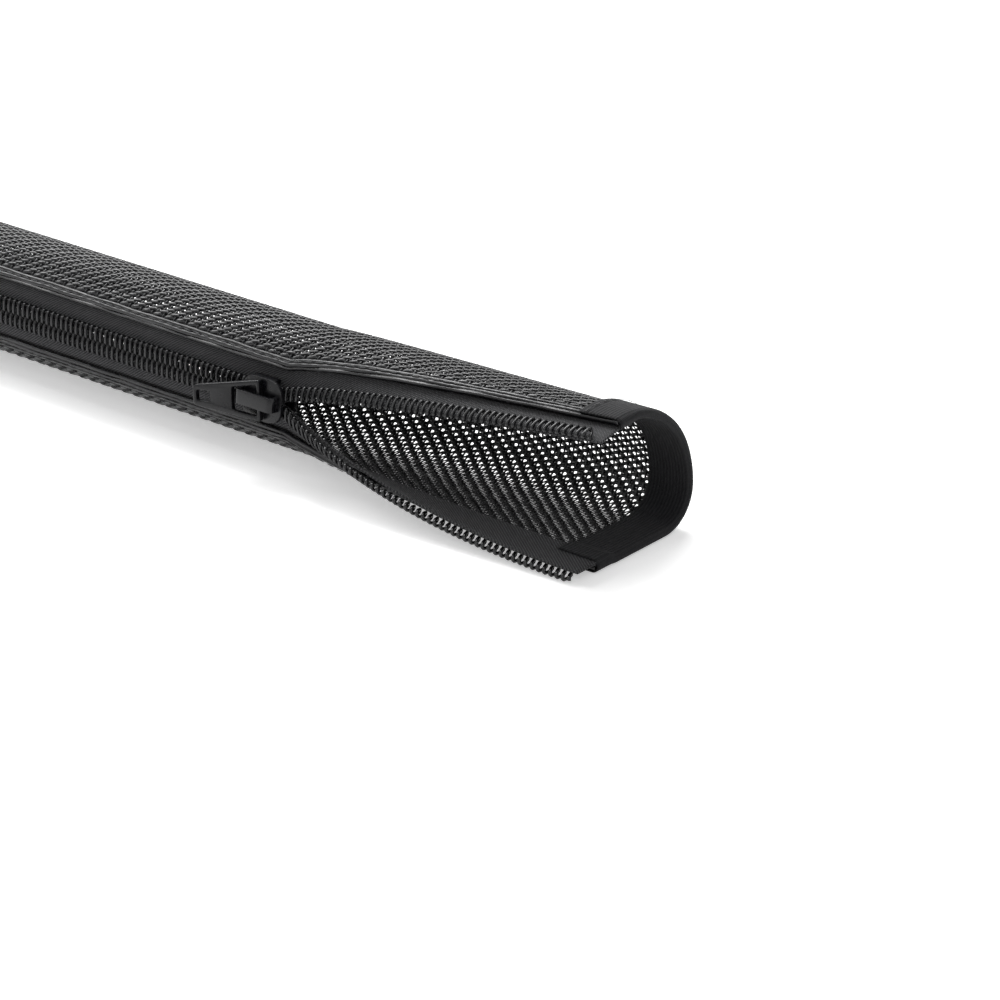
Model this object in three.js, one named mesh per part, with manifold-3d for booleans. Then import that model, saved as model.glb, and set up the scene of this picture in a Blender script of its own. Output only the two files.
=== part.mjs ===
// A zippered cable sleeve: one woven mesh panel closed into a tube by a coil zip, in millimetres.
// +X runs along the sleeve to its open mouth, +Z is up and the zip faces -Y.
// The slider stands part way along: behind it the tube is closed, ahead of it the lips part.

import * as THREE from 'three';
import { mergeVertices } from 'three/addons/utils/BufferGeometryUtils.js';
import Module from 'manifold-3d';

const wasm = await Module();
wasm.setup();

const degree = Math.PI / 180;

// Sleeve
const sleeveLength = 500;
const tubeRadius = 15.5; // to the middle of the mesh wall
const openLength = 96; // from the mouth back to the slider's middle
const sliderHold = 2.4; // the slider's nose keeps the lips together this much further
const chainTilt = 7.2 * degree; // how far the zip faces upwards
const chainFlat = 8.8; // width of the flat that the zip makes in the tube
const chainFlatCorner = 6; // radius that eases the flat into the round tube
const clearance = 0.3; // between pieces that touch

// Mouth, laid open
const mouthFloorWidth = 34; // what lies flat on the table
const mouthHeelRadius = 9;
const mouthCrownRadius = 24;
const mouthLipDroop = 11.3 * degree;
const mouthShift = 14.8; // how far the heel moves back from the tube's middle
const openingEase = 0.03; // how softly the lips start to part
const lowerLipLead = 0.95; // how far the lower lip opens ahead of the rest
const lowerLipFrom = 0.5; // where that starts, and where it is whole, as parts of the panel's width
const lowerLipFull = 0.9;

// Mesh panel
const meshThickness = 1;
const ridgeHeight = 0.2;
const ridgePitch = 3;
const hemWidth = 3;
const hemExtra = 0.4; // the fold's added height
const gapLength = 3;
const gapWidth = 1.2;
const gapRows = 8;
const gapsPerRow = 14;
const gapMargin = 20; // mesh left whole beside each binding

// Zip tapes, measured from the middle of the chain
const tapeInnerEdge = 1.2;
const tapeVisibleEdge = 8;
const tapeOverlap = 4.5;
const tapeThickness = 0.6;
const tapeEndInset = 0.8;

// Zip coils
const chainWidth = 7.6;
const coilHeight = 2.2;
const coilRidgePitch = 3.5; // one ridge stands for two turns of the coil
const coilGroove = 0.7;
const coilHeadStep = 0.6;
const coilEndInset = 1.5;

// Seams and bindings
const hemThreadInset = 1.4;
const hemThreadWidth = 0.5;
const hemThreadHeight = 0.3;
const bindingWidth = 12;
const bindingThickness = 0.5;
const bindingSteps = 36; // flats round the sleeve
const tackLength = 3.5;
const tackWidth = 9;
const tackHeight = 0.5;
const tackInset = 4; // from the binding's edge

// Slider
const sliderLength = 13.4;
const sliderNose = 4.2; // how far the nose stands past the point where the lips part
const sliderPlate = 1;
const sliderShoulder = 5.4; // half widths
const sliderTailHalf = 5.2;
const sliderTongueHalf = 2.3;
const sliderTongue = 2.6; // length of the tail's chamfers
const sliderNoseRound = 3.4; // length of the rounded nose
const noseFullness = 0.85;
const innerPlateInset = 0.2;
const sliderFlange = 0.8;
const sliderFlangeEnd = 0.5; // where the flanges stop at the nose
const sliderPostHalf = 0.35;
const sliderPostLength = 1.5;
const coilRoom = 0.4; // running clearance round the coils
const tapeRoom = 0.35; // running clearance round the tapes
const crownWidth = 3.6;
const crownLength = 12.2;
const crownThickness = 0.9;
const crownRoom = 2; // clear height under the crown
const crownBend = 1.6;
const crownFront = 3.4; // where the crown's front foot ends
const springThickness = 0.3;
const springWidth = 1.6;
const springRoom = 0.35;
const springSlot = 0.3;
const springFootGap = 0.6; // from the crown's back foot to the spring's leg

// Pull tab
const tabLength = 18.8; // from the crossbar's middle to the far end
const tabThickness = 1.6;
const tabRootHalf = 5.1;
const tabEndHalf = 2.5;
const tabEndRound = 1.2;
const tabSideBar = 1.2;
const tabWindowLength = 6.9;
const tabHoleLength = 4;
const tabHoleWidth = 2.6;
const tabHoleInset = 1;
const crossbarRadius = 0.7;
const crossbarPlace = -1.8; // along the slider
const tabDroop = 7.5 * degree;
const tabTilt = 10 * degree;

// Colours
const meshBlack = new THREE.MeshStandardMaterial({ color: 0x18191a, roughness: 0.42, metalness: 0 });
const tapeGrey = new THREE.MeshStandardMaterial({ color: 0x1e1e1f, roughness: 0.9, metalness: 0 });
const coilBlack = new THREE.MeshStandardMaterial({ color: 0x141415, roughness: 0.25, metalness: 0 });
const threadBlack = new THREE.MeshStandardMaterial({ color: 0x222223, roughness: 0.8, metalness: 0 });
const bindingBlack = new THREE.MeshStandardMaterial({ color: 0x161617, roughness: 0.85, metalness: 0 });
const sliderBlack = new THREE.MeshStandardMaterial({ color: 0x1b1b1c, roughness: 0.35, metalness: 0.6 });

// Places worked out from the sizes above
const mouthX = sleeveLength / 2;
const sliderX = mouthX - openLength;
const partX = sliderX + sliderHold;
const partedLength = openLength - sliderHold;
const flatHalf = chainFlat / 2;
const cornerTurn = Math.asin(flatHalf / (tubeRadius - chainFlatCorner));
const panelWidth = chainFlat + 2 * chainFlatCorner * cornerTurn + tubeRadius * 2 * (Math.PI - cornerTurn);
const crownTurn = Math.PI / 2 + mouthLipDroop;
const mouthTopFlat = panelWidth - mouthFloorWidth - mouthHeelRadius * Math.PI / 2
  - mouthCrownRadius * crownTurn;
const meshOuter = meshThickness / 2;
const tapeOuter = -meshOuter - clearance;
const tapeInner = tapeOuter - tapeThickness;
const coilBase = tapeOuter + clearance;
const coilTop = coilBase + coilHeight;
const hemOuter = meshOuter + hemExtra;
const bindingInside = hemOuter + clearance;
const bindingOutside = bindingInside + bindingThickness;
const liningOutside = tapeInner - clearance;
const liningInside = liningOutside - bindingThickness;
const meshEndX = mouthX - bindingThickness - clearance;

// A section is drawn as a walk along the panel from the upper lip, over the top, to the lower lip.
// Each stretch is [length, radius], and the walk turns downwards by length / radius.
const closedStretches = [
  [flatHalf, Infinity],
  [chainFlatCorner * cornerTurn, chainFlatCorner],
  [tubeRadius * 2 * (Math.PI - cornerTurn), tubeRadius],
  [chainFlatCorner * cornerTurn, chainFlatCorner],
  [flatHalf, Infinity],
];
const openStretches = [
  [mouthTopFlat, Infinity],
  [mouthCrownRadius * crownTurn, mouthCrownRadius],
  [mouthHeelRadius * Math.PI / 2, mouthHeelRadius],
  [mouthFloorWidth, Infinity],
];

function turnAt(along, stretches) {
  let turn = 0;
  let rest = along;
  for (const [length, radius] of stretches) {
    turn += Math.min(Math.max(rest, 0), length) / radius;
    rest -= length;
  }
  return turn;
}

// Where the closed tube touches its lowest point
const closedFloorAt = flatHalf + chainFlatCorner * cornerTurn
  + tubeRadius * (1.5 * Math.PI - chainTilt - cornerTurn);
const openFloorAt = panelWidth - mouthFloorWidth;

// How far the lips have parted at x, from 0 closed to 1 at the mouth
function openingAt(x) {
  const t = Math.max((x - partX) / partedLength, 0);
  const start = Math.sqrt(openingEase);
  return (Math.sqrt(t + openingEase) - start) / (Math.sqrt(1 + openingEase) - start);
}

const sectionStep = 0.25;
const sections = new Map();

// The panel's middle line at x, as points with headings, standing on the floor
function sectionAt(x) {
  const opening = openingAt(x);
  if (sections.has(opening)) return sections.get(opening);
  const count = Math.round(panelWidth / sectionStep);
  const step = panelWidth / count;
  const lead = lowerLipLead * opening ** 2 * (1 - opening);
  const headingAt = (along) => {
    const closed = Math.PI / 2 - chainTilt - turnAt(along, closedStretches);
    const open = mouthLipDroop - turnAt(along, openStretches);
    const part = opening + lead * THREE.MathUtils.smoothstep(along / panelWidth, lowerLipFrom, lowerLipFull);
    return closed * (1 - part) + open * part;
  };
  const points = [{ y: 0, z: 0, heading: headingAt(0) }];
  for (let i = 1; i <= count; i++) {
    const before = points[i - 1];
    const middle = headingAt((i - 0.5) * step);
    points.push({
      y: before.y + step * Math.cos(middle),
      z: before.z + step * Math.sin(middle),
      heading: headingAt(i * step),
    });
  }
  const floorAt = closedFloorAt * (1 - opening) + openFloorAt * opening;
  const shift = opening * mouthShift - points[Math.round(floorAt / step)].y;
  const lift = bindingOutside - Math.min(...points.map((p) => p.z));
  for (const point of points) {
    point.y += shift;
    point.z += lift;
  }
  const section = { points, step };
  sections.set(opening, section);
  return section;
}

// A point on the panel: x along the sleeve, `along` round it, `out` off the middle of the wall
function panelPoint(x, along, out) {
  const { points, step } = sectionAt(x);
  const place = Math.min(Math.max(along / step, 0), points.length - 1.001);
  const i = Math.floor(place);
  const f = place - i;
  const mix = (key) => points[i][key] * (1 - f) + points[i + 1][key] * f;
  const heading = mix('heading');
  return new THREE.Vector3(x, mix('y') - out * Math.sin(heading), mix('z') + out * Math.cos(heading));
}

function welded(geometry) {
  geometry.deleteAttribute('normal');
  geometry.deleteAttribute('uv');
  return mergeVertices(geometry, 1e-5);
}

// A box bent onto the panel. rows are places along x, columns are places round the section.
// lower and upper give the offsets of its two faces, and shear moves a row's columns.
function bentSheet(rows, columns, lower, upper, shear = () => 0) {
  const box = new THREE.BoxGeometry(1, 1, 1, rows.length - 1, columns.length - 1, 1);
  const place = box.getAttribute('position');
  for (let i = 0; i < place.count; i++) {
    const row = Math.round((place.getX(i) + 0.5) * (rows.length - 1));
    const column = Math.round((place.getY(i) + 0.5) * (columns.length - 1));
    const face = place.getZ(i) > 0 ? upper : lower;
    const along = columns[column] + shear(row, column);
    const point = panelPoint(rows[row], along, face(row, column));
    place.setXYZ(i, point.x, point.y, point.z);
  }
  return welded(box);
}

function solidOf(geometry) {
  const merged = geometry.index && !geometry.getAttribute('normal') ? geometry : welded(geometry);
  return new wasm.Manifold(new wasm.Mesh({
    numProp: 3,
    vertProperties: new Float32Array(merged.getAttribute('position').array),
    triVerts: new Uint32Array(merged.index.array),
  }));
}

function geometryOf(solid) {
  const mesh = solid.getMesh();
  const geometry = new THREE.BufferGeometry();
  geometry.setAttribute('position', new THREE.BufferAttribute(new Float32Array(mesh.vertProperties), 3));
  geometry.setIndex(new THREE.BufferAttribute(new Uint32Array(mesh.triVerts), 1));
  return geometry;
}

function evenly(from, to, count) {
  return Array.from({ length: count + 1 }, (unused, i) => from + (to - from) * i / count);
}

// Places along x from one end to another: none are needed in the straight tube, and they crowd
// where the lips start to part
function rowsBetween(from, to) {
  const stations = 14;
  const crowding = 1.8;
  const parted = evenly(0, 1, stations).map((t) => partX + partedLength * t ** crowding);
  const inside = parted.filter((x) => x > from + 1 && x < to - 1);
  return [from, ...inside, to];
}

function mesh(name, geometry, material) {
  const piece = new THREE.Mesh(geometry, material);
  piece.name = name;
  return piece;
}

// The same place on the lower lip as `along` is on the upper one
function lowerSide(along) {
  return panelWidth - along;
}

// Mesh panel: a wall with lengthwise ridges, a folded hem at each zip tape and rows of gaps
function makeMeshPanel() {
  const rows = rowsBetween(-meshEndX, meshEndX);
  const from = tapeVisibleEdge;
  const to = lowerSide(from);
  const ridges = Math.round((to - from - 2 * hemWidth) / ridgePitch);
  const between = evenly(from + hemWidth, to - hemWidth, 2 * ridges);
  const step = 0.05;
  const columns = [from, from + hemWidth - step, ...between, to - hemWidth + step, to];
  const last = columns.length - 1;
  const upper = (row, column) => {
    if (column <= 1 || column >= last - 1) return hemOuter;
    return column % 2 ? meshOuter + ridgeHeight : meshOuter;
  };
  const wall = solidOf(bentSheet(rows, columns, () => -meshOuter, upper));
  const cutters = [];
  const span = meshEndX - gapMargin;
  for (const along of evenly(from + 2 * hemWidth, to - 2 * hemWidth, gapRows - 1)) {
    for (const x of evenly(-span, span, gapsPerRow - 1)) {
      const half = gapLength / 2;
      const columnsOfGap = [along - gapWidth / 2, along + gapWidth / 2];
      const reach = hemOuter + meshThickness;
      cutters.push(solidOf(bentSheet([x - half, x + half], columnsOfGap, () => -reach, () => reach)));
    }
  }
  return geometryOf(wasm.Manifold.difference(wall, wasm.Manifold.union(cutters)));
}

// A zip tape: flat ribbon from under the coil to under the mesh hem
function makeTape(side) {
  const rows = rowsBetween(-mouthX + tapeEndInset, mouthX - tapeEndInset);
  const edges = [
    tapeInnerEdge, flatHalf, tapeVisibleEdge - 2, tapeVisibleEdge, tapeVisibleEdge + tapeOverlap,
  ];
  const columns = side === 'upper' ? edges : edges.map(lowerSide).reverse();
  return bentSheet(rows, columns, () => tapeInner, () => tapeOuter);
}

// A zip coil: a comb whose ridges reach to the middle of the chain
function makeCoil(side) {
  const end = mouthX - coilEndInset;
  const ridges = Math.round(2 * end / coilRidgePitch);
  const rows = evenly(-end, end, 2 * ridges);
  const edges = [clearance / 2, chainWidth / 2];
  const columns = side === 'upper' ? edges : edges.map(lowerSide).reverse();
  const headColumn = side === 'upper' ? 0 : 1;
  const inwards = side === 'upper' ? 1 : -1;
  const top = (row) => (row % 2 ? coilTop : coilTop - coilGroove);
  const head = (row, column) => (column === headColumn && row % 2 === 0 ? inwards * coilHeadStep : 0);
  return bentSheet(rows, columns, () => coilBase, top, head);
}

// The row of sewing that holds the hem on the tape
function makeHemThread(side) {
  const end = mouthX - bindingWidth - 2 * clearance;
  const middle = tapeVisibleEdge + hemThreadInset;
  const edges = [middle - hemThreadWidth / 2, middle + hemThreadWidth / 2];
  const columns = side === 'upper' ? edges : edges.map(lowerSide).reverse();
  const base = hemOuter + clearance;
  return bentSheet(rowsBetween(-end, end), columns, () => base, () => base + hemThreadHeight);
}

// A binding: ribbon folded over the mesh's end, drawn as a U in x and offset, then bent round
function makeBinding(end) {
  const toward = end === 'mouth' ? 1 : -1;
  const start = mouthX - bindingWidth;
  const middle = mouthX - bindingWidth / 2;
  const fold = mouthX - bindingThickness;
  const corners = [
    [start, liningInside], [middle, liningInside], [mouthX, liningInside],
    [mouthX, bindingOutside], [middle, bindingOutside], [start, bindingOutside],
    [start, bindingInside], [middle, bindingInside], [fold, bindingInside],
    [fold, liningOutside], [middle, liningOutside], [start, liningOutside],
  ];
  const outline = new THREE.Shape(corners.map(([x, out]) => new THREE.Vector2(toward * x, out)));
  const from = tapeVisibleEdge;
  const to = lowerSide(from);
  const geometry = new THREE.ExtrudeGeometry(outline, {
    depth: to - from, steps: bindingSteps, bevelEnabled: false,
  });
  const place = geometry.getAttribute('position');
  for (let i = 0; i < place.count; i++) {
    const point = panelPoint(place.getX(i), to - place.getZ(i), place.getY(i));
    place.setXYZ(i, point.x, point.y, point.z);
  }
  return welded(geometry);
}

// The bar of stitches that holds both coils together at the far end
function makeTack() {
  const start = -mouthX + bindingWidth + tackInset;
  const half = new THREE.BoxGeometry(tackLength, tackWidth, tackHeight);
  half.translate(start + tackLength / 2 - sliderX, 0, coilTop + clearance + tackHeight / 2);
  return half;
}

// Slider pieces are drawn flat: x towards the mouth, y up the section, z away from the sleeve,
// with the origin on the chain's middle
const plateBase = coilTop + coilRoom;
const plateTop = plateBase + sliderPlate;
const innerPlateTop = tapeInner - tapeRoom;
const flangeInside = chainWidth / 2 + coilRoom;
const tailX = sliderNose - sliderLength;

function plateOutline(inset) {
  const shoulder = sliderShoulder - inset;
  const tail = sliderTailHalf - inset;
  const tongue = sliderTongueHalf - inset;
  const nose = sliderNose - inset;
  const shoulderX = sliderNose - sliderNoseRound;
  const bulge = shoulder * noseFullness;
  const end = tailX + inset;
  const outline = new THREE.Shape();
  outline.moveTo(end, -tongue);
  outline.lineTo(end + sliderTongue, -tail);
  outline.lineTo(shoulderX, -shoulder);
  outline.quadraticCurveTo(nose, -bulge, nose, 0);
  outline.quadraticCurveTo(nose, bulge, shoulderX, shoulder);
  outline.lineTo(end + sliderTongue, tail);
  outline.lineTo(end, tongue);
  return outline;
}

function plate(inset, base, height) {
  const geometry = new THREE.ExtrudeGeometry(plateOutline(inset), {
    depth: height, bevelEnabled: false, curveSegments: 6,
  });
  geometry.translate(0, 0, base);
  return solidOf(geometry);
}

function block(x0, x1, y0, y1, z0, z1) {
  const geometry = new THREE.BoxGeometry(x1 - x0, y1 - y0, z1 - z0);
  geometry.translate((x0 + x1) / 2, (y0 + y1) / 2, (z0 + z1) / 2);
  return solidOf(geometry);
}

// The lock spring's leg goes down through the outer plate here
const springFootX = crownFront - crownLength + crownThickness + springFootGap;

function makeSliderBody() {
  const outer = plate(0, plateBase, sliderPlate);
  const inner = plate(innerPlateInset, innerPlateTop - sliderPlate, sliderPlate);
  const flangeFrom = tailX + sliderTongue;
  const flangeBase = tapeOuter + tapeRoom;
  const flanges = [-1, 1].map((sign) => {
    const edges = [sign * flangeInside, sign * (flangeInside + sliderFlange)].sort((a, b) => a - b);
    return block(flangeFrom, sliderFlangeEnd, edges[0], edges[1], flangeBase, plateBase + sliderPlate / 2);
  });
  const postGeometry = new THREE.CylinderGeometry(1, 1, plateTop - innerPlateTop, 8);
  postGeometry.rotateX(Math.PI / 2);
  postGeometry.scale(sliderPostLength / 2, sliderPostHalf, 1);
  const postMiddle = (plateTop + innerPlateTop - sliderPlate) / 2;
  postGeometry.translate(sliderNose - sliderPostLength, 0, postMiddle);
  const foot = springWidth / 2 + springSlot;
  const slot = block(springFootX - springSlot, springFootX + springThickness + springSlot, -foot, foot,
    plateBase - 1, plateTop + 1);
  const body = wasm.Manifold.union([outer, inner, ...flanges, solidOf(postGeometry)]);
  return geometryOf(body.subtract(slot));
}

// Extrudes a side view, drawn along x and away from the sleeve, to a width across the zip
function acrossZip(outline, width) {
  const geometry = new THREE.ExtrudeGeometry(outline, {
    depth: width, bevelEnabled: false, curveSegments: 5,
  });
  geometry.rotateX(Math.PI / 2);
  geometry.translate(0, width / 2, 0);
  return geometry;
}

// Crown: the arched cap that keeps the tab's crossbar on the slider
function makeCrown() {
  const base = plateTop + clearance;
  const underside = plateTop + crownRoom;
  const top = underside + crownThickness;
  const back = crownFront - crownLength;
  const bend = crownBend;
  const outline = new THREE.Shape();
  outline.moveTo(back, base);
  outline.lineTo(back, top - bend);
  outline.quadraticCurveTo(back, top, back + bend, top);
  outline.lineTo(crownFront - bend, top);
  outline.quadraticCurveTo(crownFront, top, crownFront, top - bend);
  outline.lineTo(crownFront, base);
  outline.lineTo(crownFront - crownThickness, base);
  outline.lineTo(crownFront - crownThickness, top - bend);
  outline.quadraticCurveTo(crownFront - crownThickness, underside, crownFront - bend, underside);
  outline.lineTo(back + bend, underside);
  outline.quadraticCurveTo(back + crownThickness, underside, back + crownThickness, top - bend);
  outline.lineTo(back + crownThickness, base);
  return acrossZip(outline, crownWidth);
}

// Lock spring: a strip under the crown whose leg reaches down to the coils
function makeLockSpring() {
  const top = plateTop + crownRoom - springRoom;
  const front = crossbarPlace - crossbarRadius - springRoom;
  const outline = new THREE.Shape();
  outline.moveTo(springFootX, coilTop + clearance);
  outline.lineTo(springFootX, top);
  outline.lineTo(front, top);
  outline.lineTo(front, top - springThickness);
  outline.lineTo(springFootX + springThickness, top - springThickness);
  outline.lineTo(springFootX + springThickness, coilTop + clearance);
  return acrossZip(outline, springWidth);
}

// Pull tab: a tapered plate with a window for the crown, a crossbar under it and a hole at the end.
// It is drawn with the crossbar at the origin and its free end towards -x.
function makePullTab() {
  const halfAt = (x) => tabRootHalf + (tabEndHalf - tabRootHalf) * (x / tabLength);
  const outline = new THREE.Shape();
  const round = tabEndRound;
  outline.moveTo(-tabLength + round, -tabEndHalf);
  outline.lineTo(0, -tabRootHalf);
  outline.lineTo(0, tabRootHalf);
  outline.lineTo(-tabLength + round, tabEndHalf);
  outline.quadraticCurveTo(-tabLength, tabEndHalf, -tabLength, tabEndHalf - round);
  outline.lineTo(-tabLength, round - tabEndHalf);
  outline.quadraticCurveTo(-tabLength, -tabEndHalf, -tabLength + round, -tabEndHalf);
  // The window opens past the plate's root, and the crossbar closes it
  const windowEnd = crossbarRadius + tabWindowLength;
  const windowRoot = halfAt(0) - tabSideBar;
  const windowFar = halfAt(windowEnd) - tabSideBar;
  const windowCut = new THREE.Shape();
  windowCut.moveTo(crossbarRadius, -windowRoot);
  windowCut.lineTo(crossbarRadius, windowRoot);
  windowCut.lineTo(0, windowRoot);
  windowCut.lineTo(-windowEnd, windowFar);
  windowCut.lineTo(-windowEnd, -windowFar);
  windowCut.lineTo(0, -windowRoot);
  const depth = { depth: tabThickness, bevelEnabled: false, curveSegments: 5 };
  const plateGeometry = new THREE.ExtrudeGeometry(outline, depth);
  plateGeometry.translate(0, 0, -tabThickness / 2);
  const windowGeometry = new THREE.ExtrudeGeometry(windowCut, {
    depth: tabThickness * 2, bevelEnabled: false,
  });
  windowGeometry.translate(0, 0, -tabThickness);
  const holeEnd = -tabLength + tabHoleInset;
  const hole = block(holeEnd, holeEnd + tabHoleLength, -tabHoleWidth / 2, tabHoleWidth / 2,
    -tabThickness, tabThickness);
  const bar = solidOf(new THREE.CylinderGeometry(crossbarRadius, crossbarRadius, 2 * tabRootHalf, 12));
  return geometryOf(solidOf(plateGeometry).subtract(solidOf(windowGeometry)).subtract(hole).add(bar));
}

// The slider's place: on the chain's middle, turned to face the same way as the zip
const chainMiddle = panelPoint(sliderX, 0, 0);
const slider = new THREE.Group();
slider.position.copy(chainMiddle);
slider.rotation.x = Math.PI / 2 - chainTilt;
slider.add(mesh('slider_body', makeSliderBody(), sliderBlack));
slider.add(mesh('slider_crown', makeCrown(), sliderBlack));
slider.add(mesh('lock_spring', makeLockSpring(), sliderBlack));
slider.add(mesh('end_tack', makeTack(), threadBlack));

const tabHang = new THREE.Group();
tabHang.position.set(crossbarPlace, 0, plateTop + clearance + crossbarRadius);
tabHang.rotation.z = tabDroop;
const tabLift = new THREE.Group();
tabLift.rotation.y = tabTilt;
tabLift.add(mesh('pull_tab', makePullTab(), sliderBlack));
tabHang.add(tabLift);
slider.add(tabHang);

const sleeve = new THREE.Group();
sleeve.add(mesh('mesh_panel', makeMeshPanel(), meshBlack));
for (const side of ['upper', 'lower']) {
  sleeve.add(mesh(`zip_tape_${side}`, makeTape(side), tapeGrey));
  sleeve.add(mesh(`zip_coil_${side}`, makeCoil(side), coilBlack));
  sleeve.add(mesh(`hem_thread_${side}`, makeHemThread(side), threadBlack));
}
sleeve.add(mesh('mouth_binding', makeBinding('mouth'), bindingBlack));
sleeve.add(mesh('far_binding', makeBinding('far'), bindingBlack));
sleeve.add(slider);

// The origin stands under the middle of the whole sleeve
const box = new THREE.Box3().setFromObject(sleeve, true);
sleeve.position.set(-(box.min.x + box.max.x) / 2, -(box.min.y + box.max.y) / 2, -box.min.z);
const cableSleeve = new THREE.Group();
cableSleeve.add(sleeve);

export default cableSleeve;
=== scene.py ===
# A zippered cable sleeve lying on a pale table: woven mesh, coil zip, bound ends, slider and pull tab.
# Flat cloth is laid out in millimetres as (along the sleeve, round the section, off the wall)
# and then bent onto the sleeve's section, the same one that the frame's solids follow.

import math

import bmesh
import bpy
import numpy as np
from mathutils import Matrix, Vector


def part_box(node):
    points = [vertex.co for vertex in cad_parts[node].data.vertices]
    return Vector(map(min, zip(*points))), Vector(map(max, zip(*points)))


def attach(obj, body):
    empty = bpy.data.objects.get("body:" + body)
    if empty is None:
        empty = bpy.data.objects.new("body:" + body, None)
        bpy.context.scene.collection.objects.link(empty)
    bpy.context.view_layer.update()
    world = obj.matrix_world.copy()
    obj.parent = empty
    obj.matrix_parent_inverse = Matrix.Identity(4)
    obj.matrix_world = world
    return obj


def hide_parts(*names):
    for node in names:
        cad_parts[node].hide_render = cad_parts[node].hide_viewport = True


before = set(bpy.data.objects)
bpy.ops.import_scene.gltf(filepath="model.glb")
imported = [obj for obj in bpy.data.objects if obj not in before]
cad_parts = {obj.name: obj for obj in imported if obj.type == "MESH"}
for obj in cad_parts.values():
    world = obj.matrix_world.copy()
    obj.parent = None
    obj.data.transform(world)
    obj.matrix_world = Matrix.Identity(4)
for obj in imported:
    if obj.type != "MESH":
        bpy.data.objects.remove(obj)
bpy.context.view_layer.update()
mm = 0.001
degree = math.pi / 180


# The section

sleeve = {
    "tubeRadius": 15.5,  # to the middle of the wall
    "openLength": 96.0,
    "chainTilt": 7.2 * degree,
    "chainFlat": 8.8,
    "chainFlatCorner": 6.0,
    "mouthFloorWidth": 34.0,
    "mouthHeelRadius": 9.0,
    "mouthCrownRadius": 24.0,
    "mouthLipDroop": 11.3 * degree,
    "mouthShift": 14.8,
    "openingEase": 0.03,
    "hold": 2.4,  # the slider's nose keeps the lips together this far past its middle
    "lowerLead": 0.95,  # how far the lower lip opens ahead of the rest
    "leadSpan": (0.5, 0.9),
    "lift": 1.7,  # from the floor to the middle of the wall
}
tubeRadius = sleeve["tubeRadius"]
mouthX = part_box("mouth_binding")[1][0] / mm
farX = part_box("far_binding")[0][0] / mm
sliderX = mouthX - sleeve["openLength"]
partX = sliderX + sleeve["hold"]
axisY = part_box("far_binding")[1][1] / mm - tubeRadius - sleeve["lift"]
flatHalf = sleeve["chainFlat"] / 2
cornerTurn = math.asin(flatHalf / (tubeRadius - sleeve["chainFlatCorner"]))
cornerArc = sleeve["chainFlatCorner"] * cornerTurn
panelWidth = 2 * flatHalf + 2 * cornerArc + tubeRadius * 2 * (math.pi - cornerTurn)
crownTurn = math.pi / 2 + sleeve["mouthLipDroop"]
heelArc = sleeve["mouthHeelRadius"] * math.pi / 2
topFlat = panelWidth - sleeve["mouthFloorWidth"] - heelArc - sleeve["mouthCrownRadius"] * crownTurn
closedStretches = [
    (flatHalf, math.inf),
    (cornerArc, sleeve["chainFlatCorner"]),
    (tubeRadius * 2 * (math.pi - cornerTurn), tubeRadius),
    (cornerArc, sleeve["chainFlatCorner"]),
    (flatHalf, math.inf),
]
openStretches = [
    (topFlat, math.inf),
    (sleeve["mouthCrownRadius"] * crownTurn, sleeve["mouthCrownRadius"]),
    (heelArc, sleeve["mouthHeelRadius"]),
    (sleeve["mouthFloorWidth"], math.inf),
]
closedFloorAt = flatHalf + cornerArc + tubeRadius * (1.5 * math.pi - sleeve["chainTilt"] - cornerTurn)
openFloorAt = panelWidth - sleeve["mouthFloorWidth"]


def turnAt(along, stretches):
    turn = np.zeros_like(along)
    rest = along.copy()
    for length, radius in stretches:
        turn += np.clip(rest, 0, length) / radius
        rest = rest - length
    return turn


def sectionTable(openings, steps):
    # The wall's middle line for each opening, from the upper lip over the top to the lower lip
    along = np.linspace(0, panelWidth, steps + 1)
    middle = (along[1:] + along[:-1]) / 2

    def heading(where, opening):
        closed = math.pi / 2 - sleeve["chainTilt"] - turnAt(where, closedStretches)
        opened = sleeve["mouthLipDroop"] - turnAt(where, openStretches)
        low, high = sleeve["leadSpan"]
        share = np.clip((where / panelWidth - low) / (high - low), 0, 1)
        lead = sleeve["lowerLead"] * opening**2 * (1 - opening)
        part = opening + lead * share * share * (3 - 2 * share)
        return closed * (1 - part) + opened * part

    rows = []
    for opening in openings:
        step = panelWidth / steps
        y = np.concatenate([[0], np.cumsum(step * np.cos(heading(middle, opening)))])
        z = np.concatenate([[0], np.cumsum(step * np.sin(heading(middle, opening)))])
        floorAt = closedFloorAt * (1 - opening) + openFloorAt * opening
        y += opening * sleeve["mouthShift"] - np.interp(floorAt, along, y) + axisY
        z += sleeve["lift"] - z.min()
        rows.append((y, z, heading(along, opening)))
    return np.array(rows)


openingSteps = 160
aroundSteps = 388
table = sectionTable(np.linspace(0, 1, openingSteps + 1), aroundSteps)


def openingAt(x):
    t = np.clip((x - partX) / (mouthX - partX), 0, 1)
    start = math.sqrt(sleeve["openingEase"])
    return (np.sqrt(t + sleeve["openingEase"]) - start) / (math.sqrt(1 + sleeve["openingEase"]) - start)


def panelPoints(x, along, out):
    # Where flat places come to lie on the bent panel, in millimetres
    row = openingAt(x) * openingSteps
    r0 = np.clip(row.astype(int), 0, openingSteps - 1)
    rf = row - r0
    inside = np.clip(along, 0, panelWidth)
    column = inside / panelWidth * aroundSteps
    c0 = np.clip(column.astype(int), 0, aroundSteps - 1)
    cf = column - c0

    def mix(k):
        near = table[r0, k, c0] * (1 - cf) + table[r0, k, c0 + 1] * cf
        far = table[r0 + 1, k, c0] * (1 - cf) + table[r0 + 1, k, c0 + 1] * cf
        return near * (1 - rf) + far * rf

    y, z, heading = mix(0), mix(1), mix(2)
    past = along - inside
    cos, sin = np.cos(heading), np.sin(heading)
    return np.stack([x, y + past * cos - out * sin, z + past * sin + out * cos], axis=-1)


# Mesh helpers


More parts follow.
